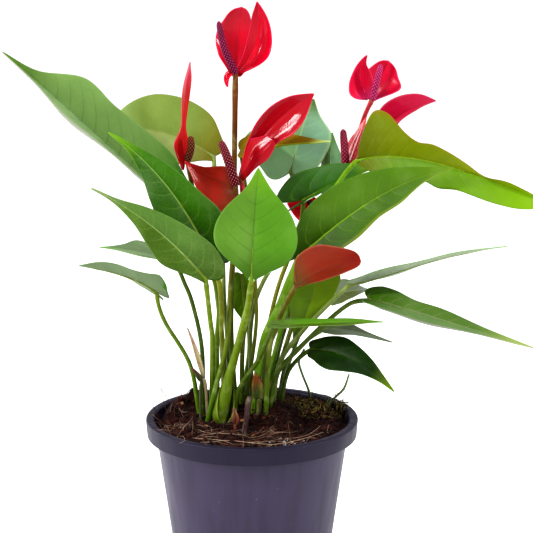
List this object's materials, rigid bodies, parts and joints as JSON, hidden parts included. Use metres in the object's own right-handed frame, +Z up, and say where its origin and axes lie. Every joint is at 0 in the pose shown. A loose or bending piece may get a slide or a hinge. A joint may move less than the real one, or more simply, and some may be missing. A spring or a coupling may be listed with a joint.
{
  "type": "potted anthurium",
  "caption": "Flowering anthurium in a round plastic nursery pot: arching pointed leaves on long stalks and glossy red spathes, each with a purple spadix, standing in soil.",
  "frame": {"origin": "middle of the pot's flat bottom", "axes": "+Z up out of the pot, +X to the right and -Y towards the viewer as the picture shows the plant"},
  "size_m": [0.2974, 0.12, 0.3364],
  "materials": {
    "pot": "dark grey-purple moulded plastic, satin",
    "soil": null,
    "leaf": null,
    "spathe": null,
    "spadix": "purple finger of small florets",
    "peduncle": "olive-brown flower stalk, satin",
    "dry_bract": "dry papery bract",
    "pale_stalk": "thin pale green stalk",
    "aerial_root": "purple-brown aerial root"
  },
  "bodies": {
    "root": {"aerial_root": "aerial_root", "dry_bract_front": "dry_bract", "dry_bract_lower": "dry_bract", "dry_bract_upper": "dry_bract", "dry_sheath": "dry_bract", "grass_left": "pale_stalk", "grass_right": "pale_stalk", "leaf_big_right": "leaf", "leaf_blue_back": "leaf", "leaf_bright_left": "leaf", "leaf_brown_tip": "leaf", "leaf_dark_inner": "leaf", "leaf_dark_lobe": "leaf", "leaf_dark_low": "leaf", "leaf_edge_left": "leaf", "leaf_far_right": "leaf", "leaf_front_right": "leaf", "leaf_front_upright": "leaf", "leaf_grey_back": "leaf", "leaf_grey_low": "leaf", "leaf_grey_small": "leaf", "leaf_hanging": "leaf", "leaf_long_left": "leaf", "leaf_lower_left": "leaf", "leaf_olive_back": "leaf", "leaf_slim_right": "leaf", "leaf_thin_front": "leaf", "leaf_thin_left": "leaf", "peduncle_front_rolled": "peduncle", "peduncle_left_edge": "peduncle", "peduncle_left_open": "peduncle", "peduncle_middle_rolled": "peduncle", "peduncle_middle_small": "peduncle", "peduncle_right_cup": "peduncle", "peduncle_right_edge": "peduncle", "peduncle_right_hidden": "peduncle", "peduncle_top": "peduncle", "pot": "pot", "soil": "soil", "spadix_front_rolled": "spadix", "spadix_left_edge": "spadix", "spadix_left_open": "spadix", "spadix_middle_rolled": "spadix", "spadix_middle_small": "spadix", "spadix_right_cup": "spadix", "spadix_right_edge": "spadix", "spadix_right_hidden": "spadix", "spadix_top": "spadix", "spathe_front_rolled": "spathe", "spathe_left_edge": "spathe", "spathe_left_open": "spathe", "spathe_middle_rolled": "spathe", "spathe_middle_small": "spathe", "spathe_right_cup": "spathe", "spathe_right_edge": "spathe", "spathe_right_hidden": "spathe", "spathe_top": "spathe"}
  },
  "joints": []
}
